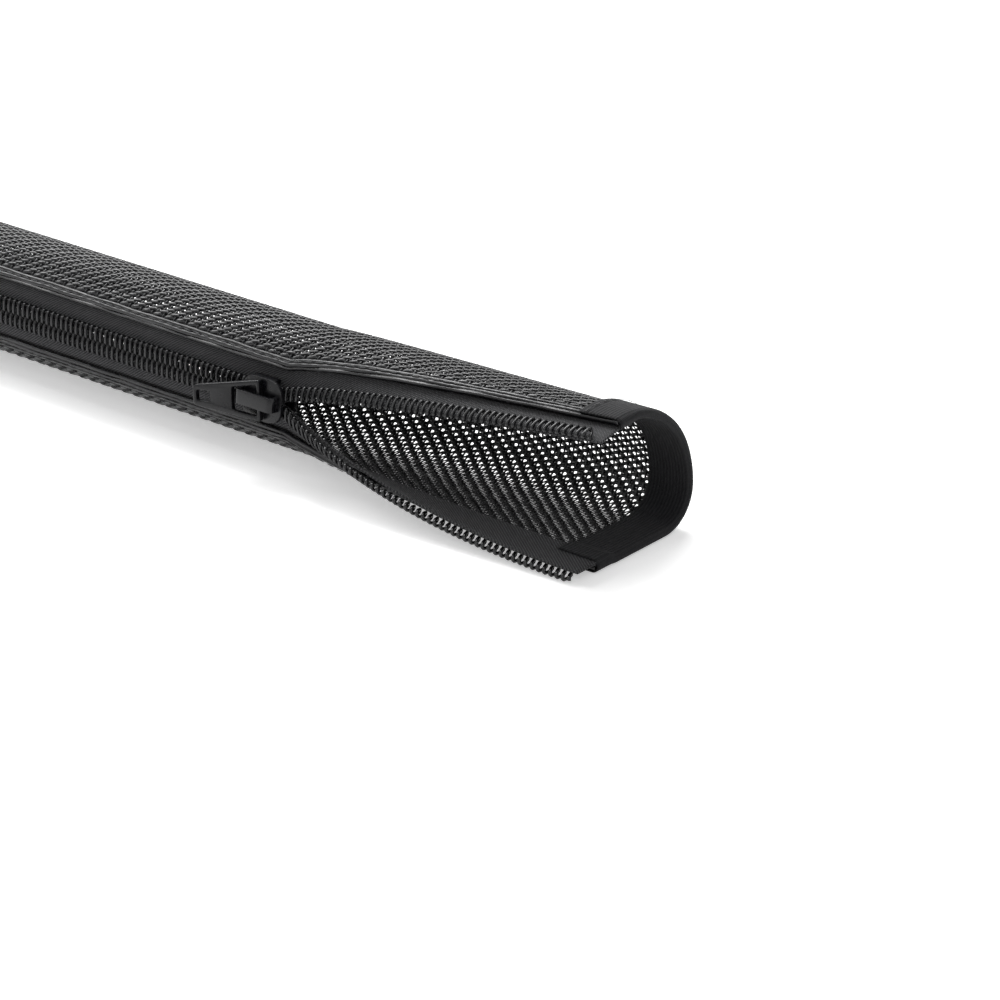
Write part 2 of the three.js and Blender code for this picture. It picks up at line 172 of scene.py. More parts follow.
def coordinates(mesh):
    flat = np.empty(len(mesh.vertices) * 3, dtype=np.float64)
    mesh.vertices.foreach_get("co", flat)
    return flat.reshape(-1, 3)


def setCoordinates(mesh, places):
    mesh.vertices.foreach_set("co", np.ascontiguousarray(places, dtype=np.float32).ravel())
    mesh.update()


def objectFrom(bm, name):
    mesh = bpy.data.meshes.new(name)
    bm.to_mesh(mesh)
    bm.free()
    piece = bpy.data.objects.new(name, mesh)
    bpy.context.scene.collection.objects.link(piece)
    return piece


def bend(piece):
    # Bends a flat piece onto the sleeve and keeps its flat places, in millimetres, as its UV map
    mesh = piece.data
    flat = coordinates(mesh)
    corners = np.empty(len(mesh.loops), dtype=np.int64)
    mesh.loops.foreach_get("vertex_index", corners)
    uv = mesh.uv_layers.new(name="flat")
    uv.data.foreach_set("uv", flat[corners][:, :2].astype(np.float32).ravel())
    setCoordinates(mesh, panelPoints(flat[:, 0], flat[:, 1], flat[:, 2]) * mm)
    return piece


def smooth(piece):
    piece.data.polygons.foreach_set("use_smooth", [True] * len(piece.data.polygons))
    piece.data.update()


def dress(piece, material, body, nodes):
    piece.data.materials.clear()
    piece.data.materials.append(material)
    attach(piece, body)
    if nodes:
        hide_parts(*nodes)


copyStep = 4  # how far apart the copies of a template lie


def tubes(name, rings, sides, count):
    # Straight tubes side by side: x is the ring's number, y and z its unit circle
    bm = bmesh.new()
    bmesh.ops.create_grid(bm, x_segments=rings - 1, y_segments=sides, size=0.5)
    for v in bm.verts:
        turn = (v.co.y + 0.5) * 2 * math.pi
        v.co = ((v.co.x + 0.5) * (rings - 1), math.cos(turn), math.sin(turn))
    bmesh.ops.remove_doubles(bm, verts=bm.verts, dist=0.001)
    bmesh.ops.holes_fill(bm, edges=[e for e in bm.edges if e.is_boundary], sides=sides)
    bmesh.ops.recalc_face_normals(bm, faces=bm.faces)
    first = bm.verts[:] + bm.edges[:] + bm.faces[:]
    for k in range(1, count):
        copy = bmesh.ops.duplicate(bm, geom=first)["geom"]
        verts = [g for g in copy if isinstance(g, bmesh.types.BMVert)]
        bmesh.ops.translate(bm, verts=verts, vec=(0, k * copyStep, 0))
    piece = objectFrom(bm, name)
    place = coordinates(piece.data)
    number = np.round(place[:, 1] / copyStep)
    return piece, place[:, 0], number, place[:, 1] - number * copyStep, place[:, 2]


# Materials


def material(name, base, roughness, **sockets):
    made = bpy.data.materials.new(name)
    made.use_nodes = True
    shader = made.node_tree.nodes["Principled BSDF"]
    shader.inputs["Base Color"].default_value = (*base, 1)
    shader.inputs["Roughness"].default_value = roughness
    for socket, value in sockets.items():
        shader.inputs[socket.replace("_", " ")].default_value = value
    return made, made.node_tree, shader


def node(tree, kind, settings=None, inputs=None):
    made = tree.nodes.new(kind)
    for key, value in (settings or {}).items():
        setattr(made, key, value)
    for key, value in (inputs or {}).items():
        if isinstance(value, bpy.types.NodeSocket):
            tree.links.new(value, made.inputs[key])
        else:
            made.inputs[key].default_value = value
    return made


def math2(tree, operation, a, b):
    made = tree.nodes.new("ShaderNodeMath")
    made.operation = operation
    for socket, value in zip(made.inputs, (a, b)):
        if isinstance(value, bpy.types.NodeSocket):
            tree.links.new(value, socket)
        else:
            socket.default_value = value
    return made.outputs[0]


def bump(tree, shader, height, distance, strength=1.0):
    made = node(tree, "ShaderNodeBump", inputs={"Height": height, "Distance": distance, "Strength": strength})
    tree.links.new(made.outputs["Normal"], shader.inputs["Normal"])


def varied(tree, shader, socket, value, low, high):
    # Feeds a socket from a 0 to 1 value, spread between low and high
    spread = node(tree, "ShaderNodeMapRange", inputs={"Value": value, "To Min": low, "To Max": high})
    tree.links.new(spread.outputs["Result"], shader.inputs[socket])


def tinted(tree, shader, value, low, high):
    ramp = node(tree, "ShaderNodeValToRGB", inputs={"Fac": value})
    ramp.color_ramp.elements[0].color = (*low, 1)
    ramp.color_ramp.elements[1].color = (*high, 1)
    tree.links.new(ramp.outputs["Color"], shader.inputs["Base Color"])


def noise(tree, vector, scale, detail=3.0):
    made = node(tree, "ShaderNodeTexNoise", inputs={"Vector": vector, "Scale": scale, "Detail": detail})
    return made.outputs["Fac"]


def mapped(tree, vector, **inputs):
    return node(tree, "ShaderNodeMapping", inputs={"Vector": vector, **inputs}).outputs["Vector"]


def filamentMaterial():
    made, tree, shader = material("meshFilament", (0.006, 0.006, 0.007), 0.3, Specular_IOR_Level=0.4)
    place = node(tree, "ShaderNodeTexCoord").outputs["Object"]
    streak = mapped(tree, place, Scale=(0.3, 3, 3))
    grain = noise(tree, streak, 900)
    varied(tree, shader, "Roughness", grain, 0.2, 0.4)
    tinted(tree, shader, noise(tree, place, 60), (0.003, 0.003, 0.004), (0.009, 0.009, 0.01))
    bump(tree, shader, grain, 0.00004)
    return made


def tapeMaterial():
    made, tree, shader = material("zipTape", (0.012, 0.012, 0.013), 0.85, Sheen_Weight=0.06,
                                  Specular_IOR_Level=0.2)
    shader.inputs["Sheen Roughness"].default_value = 0.5
    flat = node(tree, "ShaderNodeUVMap", {"uv_map": "flat"}).outputs["UV"]
    turned = mapped(tree, flat, Rotation=(0, 0, 0.9))
    twill = node(tree, "ShaderNodeTexWave", inputs={
        "Vector": turned, "Scale": 0.5, "Distortion": 0.6, "Detail": 1.0, "Detail Scale": 2.0})
    across = mapped(tree, flat, Rotation=(0, 0, -0.5))
    picks = node(tree, "ShaderNodeTexWave", inputs={
        "Vector": across, "Scale": 0.9, "Distortion": 1.5, "Detail": 2.0})
    height = math2(tree, "MULTIPLY", twill.outputs["Fac"], picks.outputs["Fac"])
    rough = math2(tree, "ADD", height, math2(tree, "MULTIPLY", noise(tree, flat, 4.0, 4.0), 0.6))
    # Painted highlight: the tape is one black yarn, and its colour goes from near black to grey with the
    # twill's height, so the raised ribs are painted lighter as if lit.
    tinted(tree, shader, height, (0.012, 0.012, 0.013), (0.12, 0.12, 0.125))
    bump(tree, shader, rough, 0.00012)
    return made


def coilMaterial():
    made, tree, shader = material("nylonCoil", (0.005, 0.005, 0.006), 0.16, Specular_IOR_Level=0.38)
    place = node(tree, "ShaderNodeTexCoord").outputs["Object"]
    varied(tree, shader, "Roughness", noise(tree, place, 800), 0.1, 0.3)
    tinted(tree, shader, noise(tree, place, 90), (0.003, 0.003, 0.004), (0.008, 0.008, 0.009))
    return made


def bindingMaterial():
    made, tree, shader = material("bindingRibbon", (0.006, 0.006, 0.007), 0.8, Sheen_Weight=0.03,
                                  Specular_IOR_Level=0.2)
    flat = node(tree, "ShaderNodeUVMap", {"uv_map": "flat"}).outputs["UV"]
    ribs = node(tree, "ShaderNodeTexWave", inputs={"Vector": flat, "Scale": 0.36, "Distortion": 0.2})
    knit = node(tree, "ShaderNodeTexWave", {"bands_direction": "Y"}, {
        "Vector": flat, "Scale": 0.8, "Distortion": 1.0, "Detail": 2.0})
    height = math2(tree, "ADD", ribs.outputs["Fac"], math2(tree, "MULTIPLY", knit.outputs["Fac"], 0.6))
    rough = math2(tree, "ADD", height, math2(tree, "MULTIPLY", noise(tree, flat, 5.0, 4.0), 0.5))
    # Painted highlight: the colour follows the ribs' height, so the raised ribs of the black ribbon are
    # painted lighter as if lit.
    tinted(tree, shader, ribs.outputs["Fac"], (0.003, 0.003, 0.004), (0.013, 0.013, 0.014))
    bump(tree, shader, rough, 0.00012)
    return made


def threadMaterial():
    made, tree, shader = material("sewingThread", (0.01, 0.01, 0.011), 0.6, Sheen_Weight=0.05,
                                  Specular_IOR_Level=0.3)
    place = node(tree, "ShaderNodeTexCoord").outputs["Object"]
    twist = mapped(tree, place, Rotation=(0, 0, 0.7))
    plies = node(tree, "ShaderNodeTexWave", inputs={"Vector": twist, "Scale": 900.0, "Distortion": 0.5})
    # Painted highlight: the colour follows the plies' wave, so the raised plies of the black thread are
    # painted lighter as if lit.
    tinted(tree, shader, plies.outputs["Fac"], (0.008, 0.008, 0.009), (0.025, 0.025, 0.026))
    bump(tree, shader, plies.outputs["Fac"], 0.00005)
    return made


def sliderMaterial(name, roughness):
    made, tree, shader = material(name, (0.004, 0.004, 0.005), roughness, Specular_IOR_Level=0.25)
    place = node(tree, "ShaderNodeTexCoord").outputs["Object"]
    varied(tree, shader, "Roughness", noise(tree, place, 500, 5.0), roughness * 0.7, roughness * 1.5)
    tinted(tree, shader, noise(tree, place, 250), (0.002, 0.002, 0.003), (0.006, 0.006, 0.007))
    bump(tree, shader, noise(tree, place, 1800, 2.0), 0.00003)
    return made


def springMaterial():
    made, tree, shader = material("springSteel", (0.4, 0.4, 0.41), 0.35, Metallic=1.0)
    place = node(tree, "ShaderNodeTexCoord").outputs["Object"]
    varied(tree, shader, "Roughness", noise(tree, place, 700), 0.25, 0.45)
    return made


# The mesh: flat warps run along the sleeve over two wefts and under one, and wefts run round it

weave = {
    "warpPitch": 1.03,
    "weftPitch": 1.29,
    "warpHalf": (0.53, 0.16),  # half width and half height
    "diveWidth": 0.95,  # how much of its width a warp keeps in a dive
    "warpWave": 0.3,
    "warpDrift": 0.24,
    "weftHalf": (0.3, 0.18),
    "weftWave": 0.11,
    "warpRings": 9,  # for each repeat
    "warpSides": 5,
    "weftRings": 6,
    "weftSides": 4,
    "hemFold": 8.0,  # where the edge folds, from the chain's middle
    "hemUnder": 4.0,  # what is folded under
    "hemOuter": 0.62,
    "hemInner": -0.3,
    "hemEase": (3.0, 5.0),
    "diveSharpness": 3.2,
    "diveShare": 0.45,
    "wander": ((0.05, 7.3, 0.11), (0.04, 2.1, 0.47)),  # size, step from warp to warp, step along x
    "tip": (0.06, 4.7, 0.31),
    "hemFloat": (0.2, 1.6),  # where the warps beside the fold run on top without a dive
    "endInset": 1.0,
    "warpPieces": 8,
    "weftPieces": 4,
}


def hemPlace(q, out):
    # From a place across the cut cloth to one round the section, with the folded edges
    bottom, top = weave["hemInner"], weave["hemOuter"]
    middle, radius = (bottom + top) / 2, (top - bottom) / 2
    under, turn = weave["hemUnder"], math.pi * radius
    whole = 2 * (under + turn) + panelWidth - 2 * (weave["hemFold"] + radius)
    side = np.where(q < whole / 2, 1.0, -1.0)
    near = np.minimum(q, whole - q)
    angle = np.clip((near - under) / radius, 0, math.pi)
    flat = weave["hemFold"] + radius
    beyond = np.maximum(near - under - turn, 0)
    along = np.where(near < under, flat + under - near, flat - (radius + out) * np.sin(angle) + beyond)
    onTop = near > under + turn
    low, high = weave["hemEase"]
    fade = np.clip((beyond - low) / (high - low), 0, 1)
    rise = top * (1 - fade * fade * (3 - 2 * fade))
    folded = middle - (radius + out) * np.cos(angle)
    offset = np.where(onTop, rise + out, np.where(near < under, bottom - out, folded))
    return np.where(side > 0, along, panelWidth - along), offset


def clothWidth():
    radius = (weave["hemOuter"] - weave["hemInner"]) / 2
    return 2 * (weave["hemUnder"] + math.pi * radius) + panelWidth - 2 * (weave["hemFold"] + radius)


def twill(phase):
    # From 1 where a warp floats over two wefts to -1 where it dives under the third
    wave = np.cos(2 * math.pi * (phase - 1 / 3))
    return np.tanh(weave["diveSharpness"] * (wave + weave["diveShare"]))


def drift(phase):
    # How a float leans sideways as it runs, and swings back in its dive
    turn = 2 * math.pi * (phase - 1 / 3)
    return np.sin(turn) - 0.25 * np.sin(2 * turn)


def swing(part, number, x):
    size, warpStep, alongStep = part
    return size * np.sin(number * warpStep + x * alongStep)


def layYarns(piece, x, q, out, first):
    along, offset = hemPlace(q, out)
    setCoordinates(piece.data, np.stack([x, along, offset], axis=-1))
    bend(piece)
    smooth(piece)
    dress(piece, filament, "sleeve", ["mesh_panel"] if first else [])


def warpMargin():
    count = int(clothWidth() / weave["warpPitch"])
    return (clothWidth() - (count - 1) * weave["warpPitch"]) / 2


def makeWarps():
    repeat = 3 * weave["weftPitch"]
    step = repeat / weave["warpRings"]
    low, high = farX + weave["endInset"], mouthX - weave["endInset"]
    first = math.ceil(low / step)
    rings = math.floor(high / step) - first + 1
    count = int(clothWidth() / weave["warpPitch"])
    turn = math.pi * (weave["hemOuter"] - weave["hemInner"]) / 2
    bounds = np.linspace(0, count, weave["warpPieces"] + 1).astype(int)
    for part, (low, high) in enumerate(zip(bounds[:-1], bounds[1:])):
        piece, ring, number, side, up = tubes(f"mesh_warps_{part + 1}", rings, weave["warpSides"], high - low)
        number = number + low
        x = (first + ring) * step
        phase = x / repeat - number / 3
        over = twill(phase)
        centre = warpMargin() + number * weave["warpPitch"]
        pastFold = np.minimum(centre, clothWidth() - centre) - weave["hemUnder"] - turn
        near, far = weave["hemFloat"]
        floats = (pastFold > near - turn) & (pastFold < far)
        over = np.where(floats, 1.0, over)
        wide = weave["warpHalf"][0] * (1 - (1 - weave["diveWidth"]) * (1 - over) / 2)
        lean = np.where(floats, 0.0, weave["warpDrift"] * drift(phase))
        wander = swing(weave["wander"][0], number, x) + swing(weave["wander"][1], number, x)
        tip = swing(weave["tip"], number, x) * side
        height = weave["warpWave"] * over + up * weave["warpHalf"][1] + tip
        layYarns(piece, x, centre + side * wide + lean + wander, height, part == 0)
    print("warps", count)


def makeWefts():
    start, end = farX + weave["endInset"], mouthX - weave["endInset"]
    count = int((end - start) / weave["weftPitch"])
    rings = int(clothWidth() / (3 * weave["warpPitch"]) * weave["weftRings"]) + 1
    bounds = np.linspace(0, count, weave["weftPieces"] + 1).astype(int)
    for part, (low, high) in enumerate(zip(bounds[:-1], bounds[1:])):
        piece, ring, number, side, up = tubes(f"mesh_wefts_{part + 1}", rings, weave["weftSides"], high - low)
        centre = (np.round(start / weave["weftPitch"]) + number + low + 0.5) * weave["weftPitch"]
        q = ring / (rings - 1) * clothWidth()
        warp = (q - warpMargin()) / weave["warpPitch"]
        phase = centre / (3 * weave["weftPitch"]) - warp / 3
        height = -weave["weftWave"] * twill(phase)
        x = centre - side * weave["weftHalf"][0]
        layYarns(piece, np.clip(x, start, end), q, height + up * weave["weftHalf"][1], False)
    print("wefts", count)


# Zip tapes

tape = {
    "innerEdge": 1.2,
    "outerEdge": 12.5,
    "top": -0.8,
    "thickness": 0.6,
    "endInset": 0.8,
    "cell": (1.6, 0.7),
    "bevel": 0.15,
}


def flatSlab(name, x0, x1, s0, s1, low, high, cell, bevel):
    # A flat slab with rounded edges, cut into cells so that it can bend
    bm = bmesh.new()
    bmesh.ops.create_cube(bm, size=1)
    bmesh.ops.scale(bm, vec=(x1 - x0, s1 - s0, high - low), verts=bm.verts)
    bmesh.ops.translate(bm, vec=((x0 + x1) / 2, (s0 + s1) / 2, (low + high) / 2), verts=bm.verts)
    bmesh.ops.bevel(bm, geom=bm.edges[:], offset=bevel, segments=2, profile=0.5, affect="EDGES",
                    material=-1)
    for axis, (a, b, size) in enumerate(((x0, x1, cell[0]), (s0, s1, cell[1]))):
        normal = Vector((1, 0, 0)) if axis == 0 else Vector((0, 1, 0))
        count = max(int((b - a) / size), 1)
        for k in range(1, count):
            point = normal * (a + (b - a) * k / count)
            geometry = bm.verts[:] + bm.edges[:] + bm.faces[:]
            bmesh.ops.bisect_plane(bm, geom=geometry, plane_co=point, plane_no=normal)
    return objectFrom(bm, name)


def makeTape(side):
    edges = (tape["innerEdge"], tape["outerEdge"])
    s0, s1 = edges if side == "upper" else (panelWidth - edges[1], panelWidth - edges[0])
    low = tape["top"] - tape["thickness"]
    piece = flatSlab(f"tape_{side}", farX + tape["endInset"], mouthX - tape["endInset"], s0, s1, low,
                     tape["top"], tape["cell"], tape["bevel"])
    bend(piece)
    smooth(piece)
    dress(piece, tapeCloth, "sleeve", [f"zip_tape_{side}"])


# Zip coils: a filament wound flat, with a swollen head on each turn

coil = {
    "pitch": 1.744,
    "outer": 3.75,
    "head": -0.35,  # how far the heads cross the chain's middle
    "base": -0.45,
    "top": 1.65,
    "wire": 0.42,  # half thickness
    "headSwell": 1.35,
    "headFrom": 0.55,  # where a turn starts to swell, as the cosine of its angle
    "reachPower": 0.75,
    "risePower": 0.6,
    "ringsPerTurn": 14,
    "sides": 5,
    "endInset": 1.5,
}


def makeCoil(side):
    start, end = farX + coil["endInset"], mouthX - coil["endInset"]
    turns = int((end - start) / coil["pitch"])
    rings = turns * coil["ringsPerTurn"] + 1
    piece, ring, number, across, up = tubes(f"coil_{side}", rings, coil["sides"], 1)
    sign = 1 if side == "upper" else -1
    shift = 0.0 if side == "upper" else coil["pitch"] / 2

    def path(t):
        # Flat place of the filament's middle, t counting turns
        angle = 2 * math.pi * t
        cos, sin = np.cos(angle), np.sin(angle)
        reach = np.sign(cos) * np.abs(cos) ** coil["reachPower"]
        rise = np.sign(sin) * np.abs(sin) ** coil["risePower"]
        wire = coil["wire"]
        outer, head = coil["outer"] - wire, coil["head"] + wire
        s = (outer + head) / 2 - reach * (outer - head) / 2
        low, high = coil["base"] + wire, coil["top"] - wire
        n = (low + high) / 2 + rise * (high - low) / 2
        # the outside leg runs straight across, and the inside leg leads on to the next turn
        whole, share = np.floor(t), t - np.floor(t)
        lead = np.clip((share - 0.5) / 0.5, 0, 1)
        lead = lead * lead * (3 - 2 * lead)
        x = start + shift + (whole + lead) * coil["pitch"]
        return np.stack([x, s, n], axis=-1)

    t = ring / coil["ringsPerTurn"]
    step = 0.02
    middle = path(t)
    tangent = path(t + step) - path(t - step)
    tangent /= np.linalg.norm(tangent, axis=1, keepdims=True)
    wide = np.array([1.0, 0, 0]) - tangent * tangent[:, :1]
    wide /= np.linalg.norm(wide, axis=1, keepdims=True)
    tall = np.cross(tangent, wide)
    headFrom = coil["headFrom"]
    nearHead = np.clip((np.cos(2 * math.pi * t) - headFrom) / (1 - headFrom), 0, 1)
    swell = 1 + (coil["headSwell"] - 1) * nearHead
    flat = middle + wide * (across * coil["wire"] * swell)[:, None] + tall * (up * coil["wire"])[:, None]
    if sign < 0:
        flat[:, 1] = panelWidth - flat[:, 1]
        bm = bmesh.new()
        bm.from_mesh(piece.data)
        bmesh.ops.reverse_faces(bm, faces=bm.faces)
        bm.to_mesh(piece.data)
        bm.free()
    setCoordinates(piece.data, flat)
    bend(piece)
    smooth(piece)
    dress(piece, nylon, "sleeve", [f"zip_coil_{side}"])


# Bindings: ribbon folded over the cloth's end

binding = {
    "width": 11.7,
    "thickness": 0.6,
    "outer": 1.4,  # middles of the two leaves
    "inner": -1.0,
    "innerAtTape": -1.95,
    "tapeSpan": (12.5, 15.5),
    "from": 8.0,
    "cell": 0.9,
    "rows": 40,  # over the fold, from one leaf's edge to the other's
}


def makeBinding(end):
    toward = 1 if end == "mouth" else -1
    tip = mouthX if end == "mouth" else farX
    half = binding["thickness"] / 2
    leaf = binding["width"]
    bm = bmesh.new()
    span = panelWidth - 2 * binding["from"]
    columns = int(span / binding["cell"])
    bmesh.ops.create_grid(bm, x_segments=binding["rows"], y_segments=columns, size=0.5)
    piece = objectFrom(bm, f"{end}_end_binding")
    place = coordinates(piece.data)
    s = binding["from"] + (place[:, 1] + 0.5) * span
    near = np.minimum(s, panelWidth - s)
    low, high = binding["tapeSpan"]
    fade = np.clip((near - low) / (high - low), 0, 1)
    fade = fade * fade * (3 - 2 * fade)
    inner = binding["innerAtTape"] * (1 - fade) + binding["inner"] * fade
    outer = binding["outer"]
    radius = (outer - inner) / 2
    turn = math.pi * radius
    run = (place[:, 0] + 0.5) * (2 * leaf + turn)
    straight = leaf - radius - half
    angle = np.clip((run - straight) / radius, 0, math.pi)
    back = np.maximum(run - straight - turn, 0) * (straight / (leaf + radius + half))
    reach = np.where(run < straight, run, straight + radius * np.sin(angle) - back)
    offset = (outer + inner) / 2 + radius * np.cos(angle)
    x = tip - toward * (leaf - reach)
    setCoordinates(piece.data, np.stack([x, s, offset], axis=-1))
    bend(piece)
    bm = bmesh.new()
    bm.from_mesh(piece.data)
    bmesh.ops.recalc_face_normals(bm, faces=bm.faces)
    bmesh.ops.solidify(bm, geom=bm.faces[:], thickness=half * mm)
    bm.to_mesh(piece.data)
    bm.free()
    smooth(piece)
    dress(piece, ribbon, "sleeve", [f"{end}_binding"])


# Sewing

sewing = {
    "stitch": 2.3,
    "gap": 0.7,
    "half": (0.2, 0.1),
    "hemRow": 9.4,
    "hemTop": 1.25,
    "bindingRow": 9.8,  # from the end
    "bindingTop": 1.68,
    "bindingFrom": 9.0,
}


def stitchRow(name, places, length, alongX):
    # Short rounded stitches at flat places
    bm = bmesh.new()
    wide, tall = sewing["half"]
    for x, s, n in places:
        made = bmesh.ops.create_uvsphere(bm, u_segments=6, v_segments=5, radius=1)["verts"]
        size = (length / 2, wide, tall) if alongX else (wide, length / 2, tall)
        turn = Matrix.Rotation(math.pi / 2, 3, "Y" if alongX else "X")
        bmesh.ops.rotate(bm, verts=made, cent=(0, 0, 0), matrix=turn)
        bmesh.ops.scale(bm, verts=made, vec=size)
        bmesh.ops.translate(bm, verts=made, vec=(x, s, n))
    piece = objectFrom(bm, name)
    bend(piece)
    smooth(piece)
    return piece


def makeHemSewing(side):
    step = sewing["stitch"] + sewing["gap"]
    s = sewing["hemRow"] if side == "upper" else panelWidth - sewing["hemRow"]
    ends = binding["width"] + 1
    places = [(x, s, sewing["hemTop"]) for x in np.arange(farX + ends, mouthX - ends, step)]
    piece = stitchRow(f"hem_sewing_{side}", places, sewing["stitch"], True)
    dress(piece, thread, "sleeve", [f"hem_thread_{side}"])


def makeBindingSewing(end):
    step = sewing["stitch"] + sewing["gap"]
    row = sewing["bindingRow"]
    x = mouthX - row if end == "mouth" else farX + row
    first = sewing["bindingFrom"]
    places = [(x, s, sewing["bindingTop"]) for s in np.arange(first, panelWidth - first, step)]
    piece = stitchRow(f"{end}_binding_sewing", places, sewing["stitch"], False)
    dress(piece, thread, "sleeve", [])


tack = {
    "rows": 7,
    "columns": (-0.75, -0.25, 0.25, 0.75),  # parts of the reach to either side
    "reach": 4.4,
    "stitch": 0.62,
    "inset": 0.3,
    "top": 1.95,
}


def makeTack():
    low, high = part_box("end_tack")
    x0, x1 = low[0] / mm, high[0] / mm
    inset, reach = tack["inset"], tack["reach"]
    places = [(x, reach * column, tack["top"]) for x in np.linspace(x0 + inset, x1 - inset, tack["rows"])
              for column in tack["columns"]]
    piece = stitchRow("end_tack_sewing", places, reach * tack["stitch"], False)
    dress(piece, thread, "sleeve", ["end_tack"])


# Slider and pull tab, drawn flat: x towards the mouth, y up the section, z away from the sleeve

slider = {
    "length": 13.4,
    "nose": 4.2,
    "noseRound": 3.4,
    "shoulder": 5.4,
    "tail": 5.2,
    "tongueHalf": 2.3,
    "tongue": 2.6,
    "plateBase": 2.1,
    "plate": 1.0,
    "innerTop": -1.75,
    "flangeInside": 4.2,
    "flange": 0.8,
    "flangeBase": -0.45,
    "flangeEnd": 0.5,
    "sunk": 0.3,  # how far the post and flanges stop under the plate's top
    "innerInset": 0.2,
    "noseFlat": 0.72,
    "cornerRounds": (0.5, 0.8, 1.2, 2.4),
    "postHalf": 0.35,
    "postLength": 1.5,
    "bevel": 0.3,
}
crown = {"width": 3.6, "length": 12.2, "thickness": 0.9, "room": 2.0, "front": 3.4, "bend": 1.6,
         "base": 0.05, "footRound": 0.05, "innerBend": 0.6, "bevel": 0.22}
spring = {"thickness": 0.3, "width": 1.6, "room": 0.35, "legGap": 0.6, "foot": 2.0, "bevel": 0.06}
tab = {
    "length": 18.8,
    "thickness": 1.6,
    "root": 5.1,
    "end": 2.5,
    "sideBar": 1.2,
    "window": 6.9,
    "hole": (4.0, 2.6),
    "holeInset": 1.0,
    "bar": 0.7,
    "place": -1.8,
    "droop": 7.5 * degree,
    "tilt": 10 * degree,
    "rootPast": 0.35,  # how far the root stands past the crossbar's middle
    "rounds": (1.2, 0.6, 0.6, 1.2),
    "windowRound": 0.6,
    "holeRound": 0.5,
    "windowPast": 0.6,
    "gap": 0.3,
    "bevel": 0.25,
    "cut": 3.0,
}
plateTop = slider["plateBase"] + slider["plate"]


def sliderMatrix():
    origin = panelPoints(np.array([sliderX]), np.array([0.0]), np.array([0.0]))[0]
    turn = Matrix.Rotation(math.pi / 2 - sleeve["chainTilt"], 4, "X")
    return Matrix.Translation(Vector(origin * mm)) @ turn @ Matrix.Scale(mm, 4)


def prism(outline, low, high):
    # A closed outline in x and y, raised from low to high
    bm = bmesh.new()
    corners = [bm.verts.new((x, y, low)) for x, y in outline]
    face = bm.faces.new(corners)
    raised = bmesh.ops.extrude_face_region(bm, geom=[face])["geom"]
    verts = [g for g in raised if isinstance(g, bmesh.types.BMVert)]
    bmesh.ops.translate(bm, verts=verts, vec=(0, 0, high - low))
    bmesh.ops.recalc_face_normals(bm, faces=bm.faces)
    return bm


def rounded(corners, radius, steps=5):
    # The outline through the corners, each rounded by its radius
    points = []
    for i, corner in enumerate(corners):
        here = Vector(corner)
        before, after = Vector(corners[i - 1]), Vector(corners[(i + 1) % len(corners)])
        r = radius[i] if isinstance(radius, (list, tuple)) else radius
        a = here + (before - here).normalized() * r
        b = here + (after - here).normalized() * r
        for k in range(steps + 1):
            t = k / steps
            points.append(tuple(a * (1 - t) ** 2 + here * 2 * t * (1 - t) + b * t * t))
    return points


def joinedObject(parts, name):
    bm = bmesh.new()
    for part in parts:
        mesh = bpy.data.meshes.new("part")
        part.to_mesh(mesh)
        part.free()
        bm.from_mesh(mesh)
        bpy.data.meshes.remove(mesh)
    return objectFrom(bm, name)


def combine(piece, other, operation):
    # Joins or cuts one object with another
    modifier = piece.modifiers.new("combine", "BOOLEAN")
    modifier.operation = operation
    modifier.solver = "EXACT"
    modifier.object = other
    evaluated = piece.evaluated_get(bpy.context.evaluated_depsgraph_get())
    mesh = bpy.data.meshes.new_from_object(evaluated)
    piece.modifiers.clear()
    piece.data = mesh
    bpy.data.objects.remove(other)
    return piece


def softEdges(piece, width, matrix, segments=3):
    # Places a piece and rounds its sharp edges
    piece.data.transform(matrix)
    bevel = piece.modifiers.new("edges", "BEVEL")
    bevel.width = width * mm
    bevel.segments = segments
    bevel.limit_method = "ANGLE"
    bevel.angle_limit = 40 * degree
    bevel.harden_normals = False
    smooth(piece)


def plateOutline(inset):
    nose, end = slider["nose"] - inset, slider["nose"] - slider["length"] + inset
    shoulder, tail, tongue = (slider[key] - inset for key in ("shoulder", "tail", "tongueHalf"))
    shoulderX = slider["nose"] - slider["noseRound"]
    half = [(end, -tongue), (end + slider["tongue"], -tail), (shoulderX, -shoulder),
            (nose, -shoulder * slider["noseFlat"])]
    rounds = list(slider["cornerRounds"])
    return rounded(half + [(x, -y) for x, y in reversed(half)], rounds + rounds[::-1])


def boxBetween(x0, x1, y0, y1, z0, z1):
    return prism([(x0, y0), (x1, y0), (x1, y1), (x0, y1)], z0, z1)


def makeSliderBody(matrix):
    piece = joinedObject([prism(plateOutline(0), slider["plateBase"], plateTop)], "slider_shell")
    inner = slider["innerTop"]
    high = plateTop - slider["sunk"]
    others = [prism(plateOutline(slider["innerInset"]), inner - slider["plate"], inner)]
    flangeFrom = slider["nose"] - slider["length"] + slider["tongue"]
    for sign in (-1, 1):
        edges = sorted((sign * slider["flangeInside"], sign * (slider["flangeInside"] + slider["flange"])))
        others.append(boxBetween(flangeFrom, slider["flangeEnd"], *edges, slider["flangeBase"], high))
    middle, half = slider["nose"] - slider["postLength"], slider["postLength"] / 2
    side = slider["postHalf"]
    post = [(middle - half, 0), (middle, -side), (middle + half, 0), (middle, side)]
    others.append(prism(post, inner - slider["plate"] / 2, high))
    for other in others:
        combine(piece, joinedObject([other], "addition"), "UNION")
    softEdges(piece, slider["bevel"], matrix)
    dress(piece, paint, "slider", ["slider_body"])


def archOutline(back, front, base, top, thick, bend):
    foot, inside = crown["footRound"], bend - thick * crown["innerBend"]
    outer = [(back, base), (back, top), (front, top), (front, base)]
    inner = [(front - thick, base), (front - thick, top - thick),
             (back + thick, top - thick), (back + thick, base)]
    return rounded(outer, [foot, bend, bend, foot]) + rounded(inner, [foot, inside, inside, foot])


